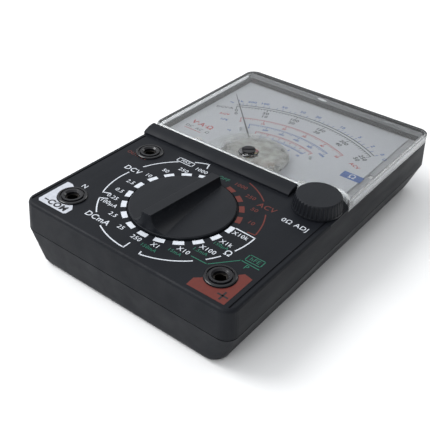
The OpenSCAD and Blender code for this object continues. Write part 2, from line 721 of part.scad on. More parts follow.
// One resistor lying under the board along Y, its leads bent up to the board
module resistor(x, y) {
    z = board_z - 2.4;
    translate([x, y, z]) rotate([90, 0, 0]) rotate_extrude($fn = 24) polygon([
        [0, -3.2], [1.1, -3.2], [1.2, -2.8], [1.2, -1.9], [1, -1.6], [1, 1.6],
        [1.2, 1.9], [1.2, 2.8], [1.1, 3.2], [0, 3.2]
    ]);
    for (s = [-1, 1]) {
        translate([x, y + s * 4.6, z]) rotate([90, 0, 0]) translate([0, 0, s > 0 ? 0 : -1.4])
            cylinder(r = 0.3, h = 1.4, $fn = 16);
        translate([x, y + s * 4.6, z]) cylinder(r = 0.3, h = board_z - z, $fn = 16);
    }
}

module resistors() color([0.8, 0.7, 0.5])
    for (i = [0:resistor_count - 1]) resistor(-24 + (i % 7) * 4.5, i < 7 ? -26 : -54);

module diodes() color([0.75, 0.3, 0.2]) for (i = [0:3]) {
    translate([14 + i * 4, -26, board_z - 1.6]) rotate([90, 0, 0]) {
        cylinder(r = 0.9, h = 4, center = true, $fn = 24);
        cylinder(r = 0.25, h = 8, center = true, $fn = 16);
    }
}

module capacitor() color([0.15, 0.2, 0.4]) translate([22, -47, board_z - 3.2]) rotate([90, 0, 0]) {
    cylinder(r = 3, h = 11, center = true, $fn = 32);
    translate([0, 0, 5.5]) cylinder(r = 2.6, h = 0.4, $fn = 32);
}

module trimmer() color([0.2, 0.4, 0.7]) translate([14, -46, board_z - 4]) difference() {
    union() {
        translate([-3.4, -3.4, 0]) cube([6.8, 6.8, 4]);
        translate([0, 0, -0.8]) cylinder(r = 2.4, h = 0.8, $fn = 32);
    }
    translate([-2, -0.35, -1]) cube([4, 0.7, 0.7]);
}

front_case();
rear_case();
case_screws();
window_cover();
scale_plate();
plate_screws();
movement_frame();
movement_screws();
return_ring();
core_magnet();
core_supports();
moving_coil();
coil_spindles();
pointer();
balance_arms();
upper_hairspring();
lower_hairspring();
upper_bridge();
lower_bridge();
jewel_bearings();
zero_lever();
zero_adjust_screw();
pointer_stops();
circuit_board();
board_screws();
range_knob();
switch_rotor();
rotor_screw();
wiper_contacts();
detent_balls();
detent_springs();
potentiometer_body();
potentiometer_shaft();
ohm_adjust_knob();
jack_collars();
jack_sleeves();
jack_nuts();
fuse();
fuse_clips();
round_cells();
cell_contacts();
cell_springs();
block_battery();
snap_connector();
battery_wires();
movement_wires();
resistors();
diodes();
capacitor();
trimmer();
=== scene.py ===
"""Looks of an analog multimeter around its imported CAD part. Metres, +Z out of the dial."""
import math

import bmesh
import bpy
from mathutils import Euler, Matrix, Vector


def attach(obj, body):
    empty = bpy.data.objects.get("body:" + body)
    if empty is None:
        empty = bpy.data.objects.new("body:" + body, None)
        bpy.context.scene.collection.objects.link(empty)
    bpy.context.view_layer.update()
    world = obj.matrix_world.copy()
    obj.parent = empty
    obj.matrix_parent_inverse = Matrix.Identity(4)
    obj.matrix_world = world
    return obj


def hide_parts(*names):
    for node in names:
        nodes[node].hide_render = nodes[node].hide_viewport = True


# Lengths are in millimetres unless they carry a factor of MM
MM = 0.001
PANEL_Z = 28.0
PLATE_TOP_Z = 25.2
COVER_FOOT_Z = 26.8
COVER_INSIDE_Z = 29.4
COVER_TOP_Z = 31.0
COVER_HALF_W = 49.3
COVER_FRONT_Y = -1.0
COVER_BACK_Y = 73.9
COVER_CORNER_R = 4.2
COVER_T = 1.6
NOTCH_R = 12.0
BOSS_R = 4.4
SWITCH = (0.0, -39.3)
ADJUST = (39.3, -6.0)
ZERO_SCREW = (-2.3, 6.5)
ARCH_MIDDLE = (0.0, 9.0)
NEGATIVE_JACK = (-36.5, -61.6)
POSITIVE_JACK = (35.6, -62.2)
JACK_COLLAR_R = 5.8

# Thickness of printed ink, and the floor's height over the back face so that the back shows
INK = 0.03
FLOOR_Z = 0.05

# The view, and the side that the soft light comes from
CAMERA_AT = (140.73, -209.55, 183.80)
CAMERA_TARGET = (12.6, -35.6, 28.0)
CAMERA_LENS = 59.56
CAMERA_ROLL = 2.51
BRIGHT_SIDE = (-0.55, -0.25, 0.8)

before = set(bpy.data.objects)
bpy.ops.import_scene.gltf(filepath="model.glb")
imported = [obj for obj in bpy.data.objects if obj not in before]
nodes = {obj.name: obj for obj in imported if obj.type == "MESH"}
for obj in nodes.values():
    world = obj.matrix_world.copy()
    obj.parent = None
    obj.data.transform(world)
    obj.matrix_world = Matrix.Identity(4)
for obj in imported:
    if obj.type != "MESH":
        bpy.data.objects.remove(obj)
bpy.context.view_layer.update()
scene = bpy.context.scene


# ---------------------------------------------------------------- materials

class Shader:
    """Builds one procedural material around a Principled shader."""

    def __init__(self, name):
        self.material = bpy.data.materials.new(name)
        self.material.use_nodes = True
        self.tree = self.material.node_tree
        self.tree.nodes.clear()
        self.output = self.node("ShaderNodeOutputMaterial")
        self.principled = self.node("ShaderNodeBsdfPrincipled")
        self.link(self.principled.outputs[0], self.output.inputs["Surface"])
        self.place = self.node("ShaderNodeTexCoord").outputs["Object"]

    def node(self, kind, **settings):
        made = self.tree.nodes.new(kind)
        for key, value in settings.items():
            setattr(made, key, value)
        return made

    def link(self, source, target):
        self.tree.links.new(source, target)

    def set(self, **sockets):
        for name, value in sockets.items():
            self.principled.inputs[name.replace("_", " ")].default_value = value

    def noise(self, size_mm, detail=3.0, stretch=None):
        """Noise whose lumps are about size_mm across, stretched along an axis when asked."""
        place = self.place
        if stretch:
            mapping = self.node("ShaderNodeMapping")
            mapping.inputs["Scale"].default_value = stretch
            self.link(place, mapping.inputs["Vector"])
            place = mapping.outputs[0]
        made = self.node("ShaderNodeTexNoise")
        made.inputs["Scale"].default_value = 1000.0 / size_mm
        made.inputs["Detail"].default_value = detail
        self.link(place, made.inputs["Vector"])
        return made.outputs["Fac"]

    def remap(self, value, low, high, start=0.3, end=0.7):
        made = self.node("ShaderNodeMapRange")
        made.inputs["From Min"].default_value = start
        made.inputs["From Max"].default_value = end
        made.inputs["To Min"].default_value = low
        made.inputs["To Max"].default_value = high
        self.link(value, made.inputs["Value"])
        return made.outputs["Result"]

    def mix(self, amount, first, second):
        """Mixes two colours; sockets 0, 6 and 7 are the node's factor and its colours A and B."""
        made = self.node("ShaderNodeMix", data_type="RGBA")
        self.link(amount, made.inputs[0])
        for index, value in ((6, first), (7, second)):
            if isinstance(value, bpy.types.NodeSocket):
                self.link(value, made.inputs[index])
            else:
                made.inputs[index].default_value = (*value, 1.0)
        return made.outputs[2]

    def bump(self, height, strength, distance_mm, below=None):
        made = self.node("ShaderNodeBump")
        made.inputs["Strength"].default_value = strength
        made.inputs["Distance"].default_value = distance_mm * MM
        self.link(height, made.inputs["Height"])
        if below:
            self.link(below, made.inputs["Normal"])
        return made.outputs["Normal"]

    def rounded(self, radius_mm):
        made = self.node("ShaderNodeBevel", samples=4)
        made.inputs["Radius"].default_value = radius_mm * MM
        return made.outputs["Normal"]


def shade(colour, factor):
    return tuple(min(1.0, channel * factor) for channel in colour)


def surface(name, colour, roughness, metallic=0.0, grain_mm=0.5, bump=0.2, depth_mm=0.05,
            mottle=0.12, mottle_mm=18.0, rub=0.08, brushed=None, edge_mm=0.12, **sockets):
    """An opaque finish: mottled colour, rubbed roughness, grain and softened edges."""
    made = Shader(name)
    made.set(Metallic=metallic, **sockets)
    cloud = made.noise(mottle_mm, 4.0)
    speck = made.noise(grain_mm * 2.5, 2.0)
    base = made.mix(made.remap(cloud, 0.0, 1.0), shade(colour, 1 - mottle), shade(colour, 1 + mottle))
    base = made.mix(made.remap(speck, 0.0, 0.5, 0.45, 0.75), base, shade(colour, 1 + 2 * mottle))
    made.link(base, made.principled.inputs["Base Color"])
    scuff = made.noise(mottle_mm * 0.4, 6.0, (1.0, 0.25, 1.0))
    made.link(made.remap(scuff, roughness - rub, roughness + rub),
              made.principled.inputs["Roughness"])
    grain = made.noise(grain_mm, 3.0, brushed)
    normal = made.bump(grain, bump, depth_mm, made.rounded(edge_mm))
    made.link(normal, made.principled.inputs["Normal"])
    return made.material


def clear(name, colour, roughness, ior, transmission=1.0, haze_mm=6.0):
    """A clear finish with faint waves and hairline rubbing."""
    made = Shader(name)
    made.set(Transmission_Weight=transmission, IOR=ior)
    tint = made.mix(made.remap(made.noise(30.0), 0.0, 1.0), shade(colour, 0.985), colour)
    made.link(tint, made.principled.inputs["Base Color"])
    rub = made.noise(haze_mm, 7.0, (1.0, 0.2, 1.0))
    made.link(made.remap(rub, roughness, roughness + 0.03), made.principled.inputs["Roughness"])
    made.link(made.bump(made.noise(14.0, 1.0), 0.04, 0.05), made.principled.inputs["Normal"])
    return made.material


def frosted(name):
    """Mottled translucent lacquer over the movement."""
    made = Shader(name)
    made.set(IOR=1.46)
    cloud = made.noise(3.2, 5.0)
    base = made.mix(made.remap(cloud, 0.0, 1.0, 0.35, 0.65), (0.30, 0.29, 0.25), (0.56, 0.57, 0.54))
    made.link(base, made.principled.inputs["Base Color"])
    made.link(made.remap(made.noise(1.1, 4.0), 0.35, 0.75), made.principled.inputs["Roughness"])
    reach = made.node("ShaderNodeVectorMath", operation="DISTANCE")
    reach.inputs[1].default_value = (ARCH_MIDDLE[0] * MM, ARCH_MIDDLE[1] * MM, COVER_INSIDE_Z * MM)
    made.link(made.place, reach.inputs[0])
    fade = made.remap(reach.outputs["Value"], 0.9, 0.12, 7 * MM, 18 * MM)
    patchy = made.node("ShaderNodeMath", operation="MULTIPLY")
    made.link(fade, patchy.inputs[0])
    made.link(made.remap(made.noise(5.0, 4.0), 0.72, 1.0), patchy.inputs[1])
    made.link(patchy.outputs[0], made.principled.inputs["Alpha"])
    made.link(made.bump(made.noise(0.9, 3.0), 0.5, 0.1), made.principled.inputs["Normal"])
    return made.material


def ink(name, colour, wear=0.12):
    """Screen-printed ink with a slightly uneven film."""
    made = Shader(name)
    made.set(Specular_IOR_Level=0.35)
    film = made.noise(1.4, 5.0)
    base = made.mix(made.remap(film, 0.0, 1.0, 0.35, 0.6), shade(colour, 1 - wear), colour)
    made.link(base, made.principled.inputs["Base Color"])
    made.link(made.remap(film, 0.35, 0.55), made.principled.inputs["Roughness"])
    made.link(made.bump(made.noise(0.35), 0.15, 0.02), made.principled.inputs["Normal"])
    return made.material


FINISH = {
    "case": surface("case grain", (0.0066, 0.0078, 0.0108), 0.5, grain_mm=0.45, bump=0.35,
                    mottle=0.12, edge_mm=0.35, Specular_IOR_Level=0.15),
    "knob": surface("knob plastic", (0.0085, 0.0098, 0.0128), 0.45, grain_mm=0.3, bump=0.15,
                    mottle=0.12, edge_mm=0.3, Specular_IOR_Level=0.2),
    "trim": surface("glossy black trim", (0.006, 0.006, 0.008), 0.2, grain_mm=1.5, bump=0.05,
                    edge_mm=0.1, Specular_IOR_Level=0.4),
    # The jack sleeves' near-black colour is painted shade: it stands in for the dark mouth of a deeper
    # socket
    "socket": surface("socket darkened as painted recess shade", (0.06, 0.055, 0.05), 0.4, metallic=1.0, grain_mm=0.4,
                      bump=0.1, edge_mm=0.06),
    # Light grey is painted light: it stands in for light through the cover's clear far wall around the
    # plate; the potentiometer body shares this finish
    "deck": surface("moulding lightened as painted backlight", (0.34, 0.345, 0.35), 0.5, grain_mm=0.6, bump=0.3),
    # The plate's mid grey is painted shade: the white enamel is darkened as if dimmed under the clear
    # cover
    "plate": surface("white enamel darkened as painted cover shade", (0.50, 0.515, 0.54), 0.45, grain_mm=0.8, bump=0.06,
                     mottle=0.02, mottle_mm=25.0, edge_mm=0.05),
    "steel": surface("plated steel", (0.62, 0.62, 0.60), 0.28, metallic=1.0, grain_mm=0.3,
                     bump=0.12, mottle=0.08, mottle_mm=4.0, brushed=(1.0, 8.0, 1.0), edge_mm=0.06),
    "iron": surface("machined soft iron", (0.36, 0.36, 0.37), 0.36, metallic=1.0, grain_mm=0.4,
                    bump=0.25, mottle=0.12, mottle_mm=5.0, brushed=(1.0, 1.0, 9.0), edge_mm=0.1),
    "magnet": surface("sintered magnet", (0.17, 0.17, 0.18), 0.5, metallic=0.8, grain_mm=0.5,
                      bump=0.4, mottle=0.15, mottle_mm=3.0, edge_mm=0.15),
    "brass": surface("brass", (0.78, 0.58, 0.27), 0.26, metallic=1.0, grain_mm=0.3, bump=0.12,
                     mottle=0.10, mottle_mm=3.0, brushed=(1.0, 1.0, 8.0), edge_mm=0.06),
    "copper": surface("enamelled winding", (0.52, 0.22, 0.08), 0.3, metallic=0.9, grain_mm=0.16,
                      bump=0.9, mottle=0.15, mottle_mm=1.5, brushed=(0.1, 0.1, 1.0),
                      edge_mm=0.2, Coat_Weight=0.5, Coat_Roughness=0.2),
    "needle": surface("black lacquered needle", (0.012, 0.012, 0.013), 0.35, metallic=0.2,
                      grain_mm=0.3, bump=0.1, edge_mm=0.04),
    "alloy": surface("aluminium alloy", (0.66, 0.67, 0.68), 0.34, metallic=1.0, grain_mm=0.35,
                     bump=0.2, mottle=0.08, mottle_mm=5.0, brushed=(8.0, 1.0, 1.0), edge_mm=0.08),
    "jewel": surface("ruby jewel", (0.55, 0.03, 0.06), 0.12, grain_mm=0.8, bump=0.03,
                     mottle=0.2, mottle_mm=0.8, edge_mm=0.05, Coat_Weight=0.6),
    "board": surface("phenolic board", (0.36, 0.21, 0.08), 0.45, grain_mm=0.5, bump=0.2,
                     mottle=0.14, mottle_mm=8.0, edge_mm=0.08),
    "rotor": surface("acetal rotor", (0.74, 0.70, 0.56), 0.4, grain_mm=0.8, bump=0.1,
                     mottle=0.05, edge_mm=0.12),
    "component": surface("component enamel", (0.55, 0.42, 0.24), 0.35, grain_mm=0.5, bump=0.1,
                         mottle=0.12, mottle_mm=2.0, edge_mm=0.1),
    "blue_component": surface("blue component sleeve", (0.05, 0.10, 0.30), 0.32, grain_mm=0.5,
                              bump=0.08, mottle=0.12, mottle_mm=3.0, edge_mm=0.1),
    "glass_tube": clear("fuse glass", (0.93, 0.95, 0.95), 0.03, 1.5),
    "cell": surface("cell jacket", (0.42, 0.05, 0.04), 0.3, grain_mm=0.9, bump=0.06,
                    mottle=0.1, mottle_mm=10.0, edge_mm=0.2),
    "block": surface("block battery jacket", (0.05, 0.08, 0.22), 0.3, metallic=0.3, grain_mm=0.9,
                     bump=0.06, mottle=0.1, mottle_mm=10.0, edge_mm=0.3),
    "red_wire": surface("red wire cover", (0.50, 0.03, 0.03), 0.4, grain_mm=0.6, bump=0.08),
    "blue_wire": surface("blue wire cover", (0.03, 0.09, 0.36), 0.4, grain_mm=0.6, bump=0.08),
    "cover": clear("clear cover", (0.955, 0.965, 0.97), 0.015, 1.49),
    "cover_wall": clear("cover side wall", (0.88, 0.90, 0.91), 0.14, 1.49, transmission=0.72),
    # Whitish, mostly opaque finish: the gate mark's brightness is a painted highlight
    "gate": clear("gate mark whitened as painted highlight", (0.97, 0.98, 0.98), 0.2, 1.49, transmission=0.3),
    "frosted": frosted("frosted lacquer"),
    "white_ink": ink("white ink", (0.62, 0.65, 0.70)),
    "tab_ink": ink("tab ink", (0.50, 0.52, 0.57)),
    "red_ink": ink("dull red ink", (0.115, 0.016, 0.010)),
    "green_ink": ink("green ink", (0.012, 0.12, 0.075)),
    "black_ink": ink("black ink", (0.008, 0.008, 0.010)),
    "scale_red_ink": ink("scale red ink", (0.45, 0.022, 0.022)),
    "scale_blue_ink": ink("scale blue ink", (0.025, 0.10, 0.36)),
}

NODE_FINISH = {
    "front_case": "case", "rear_case": "case", "case_screws": "steel", "window_cover": "cover",
    "scale_plate": "plate", "plate_screws": "steel", "movement_frame": "deck",
    "movement_screws": "steel", "return_ring": "iron", "core_magnet": "magnet",
    "core_supports": "brass", "moving_coil": "copper", "coil_spindles": "steel",
    "pointer": "needle", "balance_arms": "alloy", "upper_hairspring": "brass",
    "lower_hairspring": "brass", "upper_bridge": "alloy", "lower_bridge": "alloy",
    "jewel_bearings": "jewel", "zero_lever": "brass", "zero_adjust_screw": "trim",
    "pointer_stops": "alloy", "circuit_board": "board", "board_screws": "steel",
    "range_knob": "knob", "switch_rotor": "rotor", "rotor_screw": "steel",
    "wiper_contacts": "brass", "detent_balls": "steel", "detent_springs": "steel",
    "potentiometer_body": "deck", "potentiometer_shaft": "steel", "ohm_adjust_knob": "knob",
    "jack_collars": "trim", "jack_sleeves": "socket", "jack_nuts": "steel", "fuse": "glass_tube",
    "fuse_clips": "steel", "round_cells": "cell", "cell_contacts": "steel",
    "cell_springs": "steel", "block_battery": "block", "snap_connector": "trim",
    "battery_wires": "red_wire", "movement_wires": "blue_wire", "resistors": "component",
    "diodes": "component", "capacitor": "blue_component", "trimmer": "blue_component",
}


def dress(name, finish):
    node = nodes[name]
    node.data.materials.clear()
    node.data.materials.append(FINISH[finish])


for node_name, finish_name in NODE_FINISH.items():
    dress(node_name, finish_name)


# ---------------------------------------------------------------- printed graphics

def polar(centre, radius, angle):
    turn = math.radians(angle)
    return (centre[0] + radius * math.cos(turn), centre[1] + radius * math.sin(turn))


class Print:
    """Ink of one colour on one flat: shapes are gathered, then made into one thin piece."""

    def __init__(self, name, base_z, finish):
        self.name = name
        self.base_z = base_z
        self.finish = finish
        self.mesh = bmesh.new()

    def shape(self, points):
        low = [self.mesh.verts.new((x * MM, y * MM, self.base_z * MM)) for x, y in points]
        top = [self.mesh.verts.new((x * MM, y * MM, (self.base_z + INK) * MM)) for x, y in points]
        self.mesh.faces.new(top)
        self.mesh.faces.new(list(reversed(low)))
        for i in range(len(points)):
            j = (i + 1) % len(points)
            self.mesh.faces.new((low[i], low[j], top[j], top[i]))

    def arc(self, centre, radius, width, start, end, step=1.5):
        count = max(2, int(abs(end - start) / step))
        angles = [start + (end - start) * i / count for i in range(count + 1)]
        for a, b in zip(angles, angles[1:]):
            self.shape([polar(centre, radius - width / 2, a), polar(centre, radius + width / 2, a),
                        polar(centre, radius + width / 2, b), polar(centre, radius - width / 2, b)])

    def line(self, points, width):
        for (x0, y0), (x1, y1) in zip(points, points[1:]):
            length = math.hypot(x1 - x0, y1 - y0)
            dx = (x1 - x0) / length * width / 2
            dy = (y1 - y0) / length * width / 2
            self.shape([(x0 - dx + dy, y0 - dy - dx), (x1 + dx + dy, y1 + dy - dx),
                        (x1 + dx - dy, y1 + dy + dx), (x0 - dx - dy, y0 - dy + dx)])

    def text(self, body, at, size, turn=0.0, bold=0.012):
        """Prints upright letters centred on a point, turned about it and thickened by bold."""
        curve = bpy.data.curves.new("label", "FONT")
        curve.body = body
        curve.size = size * MM
        curve.align_x = "CENTER"
        curve.align_y = "CENTER"
        curve.offset = bold * MM
        curve.space_character = 1.08
        curve.extrude = INK / 2 * MM
        curve.resolution_u = 3
        holder = bpy.data.objects.new("label", curve)
        scene.collection.objects.link(holder)
        view_layer = bpy.context.evaluated_depsgraph_get()
        flat = bpy.data.meshes.new_from_object(holder.evaluated_get(view_layer))
        place = Matrix.Translation((at[0] * MM, at[1] * MM, (self.base_z + INK / 2) * MM))
        flat.transform(place @ Matrix.Rotation(math.radians(turn), 4, "Z"))
        self.mesh.from_mesh(flat)
        bpy.data.meshes.remove(flat)
        bpy.data.objects.remove(holder)
        bpy.data.curves.remove(curve)

    def finish_piece(self, slot_name):
        bmesh.ops.recalc_face_normals(self.mesh, faces=self.mesh.faces)
        data = bpy.data.meshes.new(self.name)
        self.mesh.to_mesh(data)
        self.mesh.free()
        data.materials.append(FINISH[self.finish])
        piece = bpy.data.objects.new(self.name, data)
        scene.collection.objects.link(piece)
        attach(piece, "case")
        return piece


white = Print("panel_print_white", PANEL_Z, "white_ink")
red = Print("panel_print_red", PANEL_Z, "red_ink")
green = Print("panel_print_green", PANEL_Z, "green_ink")

# The ring of switch marks: one every 18 degrees, missing under OFF, dull red for AC volts
MARK_RADIUS = 22.45
MARK_WIDTH = 2.1
MARK_HALF_ANGLE = 5.2
for index in range(20):
    angle = 18.0 * index
    if index == 5:
        continue
    target = red if index in (1, 2, 3, 4) else white
    target.arc(SWITCH, MARK_RADIUS, MARK_WIDTH, angle - MARK_HALF_ANGLE, angle + MARK_HALF_ANGLE, 3.8)

NUMBER_SIZE = 2.9
WHITE_LABELS = (
    ("10", (-24.5, -31.5)), ("50", (-21.6, -24.4)), ("250", (-16.3, -19.4)),
    ("1000", (-10.6, -14.9)), ("2.5", (-26.6, -39.8)), ("0.5", (-25.8, -46.9)),
    ("0.25", (-24.6, -51.9)), ("100µA", (-22.9, -55.8)), ("2.5", (-16.4, -60.1)),
    ("25", (-8.7, -63.9)), ("250", (-0.2, -65.0)), ("X1", (7.9, -63.8)), ("X10", (17.3, -59.6)),
    ("X100", (23.5, -53.7)), ("X1k", (26.2, -46.7)), ("X10k", (27.4, -39.8)),
)
for body, at in WHITE_LABELS:
    white.text(body, at, NUMBER_SIZE)
for body, at in (("DCV", (-32.2, -32.5)), ("DCmA", (-19.2, -65.4)), ("Ω", (30.1, -50.8))):
    white.text(body, at, 3.9, bold=0.03)
white.text("N", (-37.9, -53.8), 3.2)
white.text("0Ω ADJ", (38.9, -21.3), 3.4)

# Range arcs: each is a thin line around the labels with short ends turned in
ARC_RADIUS = 32.4
LINE = 0.5
for start, end in ((110, 121), (133, 160), (172, 203), (210, 227), (242, 270), (282, 316), (324, 334),
                   (344, 363)):
    white.arc(SWITCH, ARC_RADIUS, LINE, start, end)
for angle, depth in ((110, 3.2), (203, 3.2), (210, 3.2), (270, 3.2), (282, 1.4)):
    white.line([polar(SWITCH, ARC_RADIUS, angle), polar(SWITCH, ARC_RADIUS - depth, angle)], LINE)
white.line([polar(SWITCH, ARC_RADIUS, 363), (23.8, -37.2)], LINE)


def box_line(target, centre, width, height, line):
    x0 = centre[0] - width / 2
    x1 = centre[0] + width / 2
    y0 = centre[1] - height / 2
    y1 = centre[1] + height / 2
    target.line([(x0, y0), (x1, y0), (x1, y1), (x0, y1), (x0, y0)], line)


box_line(white, (-19.7, -13.8), 8.0, 2.7, 0.35)
white.text("MAX", (-19.7, -13.8), 2.1)

for body, angle in (("10", 18), ("50", 36), ("250", 54), ("1000", 72)):
    red.text(body, polar(SWITCH, 27.2, angle), NUMBER_SIZE)
red.arc(SWITCH, 31.5, LINE, 6, 31)
red.arc(SWITCH, 31.5, LINE, 47, 72)
red.line([polar(SWITCH, 31.5, 6), polar(SWITCH, 28.4, 6)], LINE)
red.text("ACV", polar(SWITCH, 32.0, 39), 3.9, bold=0.03)
red.text("OUTPUT", (-38.6, -23.0), 2.6)
green.text("OFF", (0.0, -13.6), NUMBER_SIZE)
green.text("P", (39.4, -52.8), 3.2)
green.text("hFE", (39.8, -48.0), 2.7)
box_line(green, (39.8, -48.0), 6.5, 3.5, 0.35)
green.line([(21.3, -60.1), (28.1, -60.0), (35.8, -50.8), (43.4, -51.1)], 0.4)
for body, at in (("150mA", (6.8, -66.3)), ("15mA", (15.4, -62.2)), ("1.5mA", (22.0, -56.2)),
                 ("150µA", (25.6, -49.0))):
    green.text(body, at, 2.3)


def tab(name, outer, jack, start, end, finish):
    """A printed tab whose inner edge follows the rim of a jack."""
    patch = Print(name, PANEL_Z, finish)
    count = 16
    rim = [polar(jack, JACK_COLLAR_R + 0.25, start + (end - start) * i / count) for i in range(count + 1)]
    patch.shape(outer + rim)
    return patch


common_tab = tab("negative_tab_white",
                 [(-30.1, -67.7), (-30.1, -70.9), (-30.9, -71.6), (-44.2, -71.6), (-45.3, -70.6),
                  (-45.3, -55.8), (-42.5, -55.8), (-40.6, -57.0)],
                 NEGATIVE_JACK, 140, 318, "tab_ink")
plus_tab = tab("positive_tab_red",
               [(41.2, -55.9), (44.8, -56.6), (44.8, -72.5), (29.2, -72.5), (29.0, -68.4), (31.0, -66.7)],
               POSITIVE_JACK, 222, 408, "red_ink")
tab_marks = Print("tab_marks_black", PANEL_Z + INK, "black_ink")
tab_marks.text("−COM", (-37.6, -69.4), 4.0, bold=0.14)
tab_marks.line([(40.1, -69.3), (43.7, -69.3)], 0.7)
tab_marks.line([(41.9, -67.5), (41.9, -71.1)], 0.7)
for patch in (white, red, green, common_tab, plus_tab, tab_marks):
    patch.finish_piece("plate_print")


# ---------------------------------------------------------------- scale plate graphics

DIAL_CENTRE = (0.8, -10.4)
DIAL_START = 124.0
DIAL_END = 57.5


def dial(radius, fraction):
    return polar(DIAL_CENTRE, radius, DIAL_START + (DIAL_END - DIAL_START) * fraction)


def dial_angle(fraction):
    return DIAL_START + (DIAL_END - DIAL_START) * fraction


def ticks(target, radius, direction, count, long_every, mid_every, start=0.0, end=1.0):
    for i in range(count + 1):
        fraction = start + (end - start) * i / count
        length = 2.2 if i % long_every == 0 else 1.6 if i % mid_every == 0 else 1.1
        target.line([dial(radius, fraction), dial(radius + direction * length, fraction)],
                    0.36 if i % long_every == 0 else 0.26)


def dial_text(target, body, radius, fraction, size, bold=0.07):
    target.text(body, dial(radius, fraction), size, dial_angle(fraction) - 90, bold)


scale_black = Print("scale_print_black", PLATE_TOP_Z, "black_ink")
scale_red = Print("scale_print_red", PLATE_TOP_Z, "scale_red_ink")
scale_blue = Print("scale_print_blue", PLATE_TOP_Z, "scale_blue_ink")

scale_black.arc(DIAL_CENTRE, 67.0, 0.5, DIAL_START, DIAL_END)
scale_black.arc(DIAL_CENTRE, 65.3, 0.4, DIAL_START, DIAL_END)
ticks(scale_black, 65.3, -1, 50, 10, 5)
for step in range(6):
    dial_text(scale_black, str(50 * step), 61.3, step / 5, 3.0)
    dial_text(scale_black, str(10 * step), 58.2, step / 5, 3.0)


def ohm_fraction(value, middle=20.0):
    return middle / (middle + value)


for value in (0, 1, 2, 3, 4, 5, 6, 7, 8, 9, 10, 12, 14, 16, 18, 20, 25, 30, 35, 40, 50, 60, 80, 100,
              150, 200, 300, 500, 1000):
    place = ohm_fraction(value)
    scale_blue.line([dial(67.2, place), dial(69.0, place)], 0.26)
for value in (0, 2, 5, 10, 20, 30, 50, 100, 200, 1000):
    label = "1k" if value == 1000 else str(value)
    dial_text(scale_blue, label, 71.0, ohm_fraction(value), 2.7)
scale_blue.text("∞", dial(69.5, -0.03), 2.6)
scale_blue.text("Ω", dial(69.8, 1.05), 2.6)

scale_red.arc(DIAL_CENTRE, 54.4, 0.3, DIAL_START - 3, DIAL_END + 5)
ticks(scale_red, 54.4, -1, 50, 10, 5, 0.04, 0.93)
for step in range(6):
    dial_text(scale_red, str(10 * step), 50.9, 0.04 + 0.89 * step / 5, 1.9)
scale_blue.arc(DIAL_CENTRE, 49.0, 0.25, DIAL_START - 8, DIAL_END + 9)
ticks(scale_blue, 49.0, -1, 40, 8, 4, 0.12, 0.86)
for step in range(6):
    dial_text(scale_blue, str(200 * step), 45.6, 0.12 + 0.74 * step / 5, 1.7)
scale_red.arc(DIAL_CENTRE, 43.2, 0.25, DIAL_START - 14, DIAL_END + 14)
ticks(scale_red, 43.2, -1, 30, 6, 3, 0.2, 0.8)
scale_blue.arc(DIAL_CENTRE, 38.6, 0.25, DIAL_START - 18, DIAL_END + 16)
ticks(scale_blue, 38.6, 1, 32, 8, 4, 0.26, 0.76)
for step in range(5):
    dial_text(scale_blue, str(5 * step - 10), 36.2, 0.26 + 0.5 * step / 4, 1.7)
scale_black.text("DCV·A", (-39.6, 39.4), 2.6, 25, bold=0.06)
scale_red.text("ACV", (-35.6, 33.9), 2.4, 20, bold=0.06)
scale_red.text("ACV", (34.2, 33.2), 2.6, -20, bold=0.06)
scale_blue.text("hFE", (-32.4, 29.4), 2.3, 16, bold=0.05)
scale_blue.text("dB", (-24.6, 22.8), 1.8)
scale_red.text("V·A·Ω", (-36.6, 18.6), 4.2, bold=0.12)
scale_black.text("DC  AC  Ω", (-36.2, 14.2), 2.6)
scale_red.line([(-42.0, 12.2), (-33.0, 12.2)], 0.35)
scale_blue.line([(35.4, 24.8), (40.0, 24.8)], 4.8)
scale_mark = Print("scale_mark_white", PLATE_TOP_Z + INK, "white_ink")
scale_mark.text("Ω", (37.7, 24.8), 4.2, bold=0.05)
for patch in (scale_black, scale_red, scale_blue, scale_mark):
    patch.finish_piece("plate_print")


# ---------------------------------------------------------------- clear cover

def arc_points(centre, radius, start, end, count):
    return [polar(centre, radius, start + (end - start) * i / count) for i in range(count + 1)]


def cover_outline(inset):
    """One loop around the cover, moved inwards, with the notch for the adjusting knob."""
    half = COVER_HALF_W - inset
    front = COVER_FRONT_Y + inset
    back = COVER_BACK_Y - inset
    corner = COVER_CORNER_R - inset
    notch = NOTCH_R + inset
    front_x = ADJUST[0] - math.sqrt(notch ** 2 - (front - ADJUST[1]) ** 2)
    side_y = ADJUST[1] + math.sqrt(notch ** 2 - (half - ADJUST[0]) ** 2)
    start = math.degrees(math.atan2(front - ADJUST[1], front_x - ADJUST[0]))
    end = math.degrees(math.atan2(side_y - ADJUST[1], half - ADJUST[0]))
    points = arc_points((-half + corner, front + corner), corner, 180, 270, 8)
    points += arc_points(ADJUST, notch, start, end, 28)
    points += arc_points((half - corner, back - corner), corner, 0, 90, 8)
    points += arc_points((-half + corner, back - corner), corner, 90, 180, 8)
    return points


def rounding(radius, inset, height, steps=5):
    """Insets and heights of an edge rounded inwards from a wall that ends at height."""
    turns = [math.pi / 2 * i / steps for i in range(1, steps + 1)]
    return [(inset + radius * (1 - math.cos(turn)), height - radius + radius * math.sin(turn))
            for turn in turns]


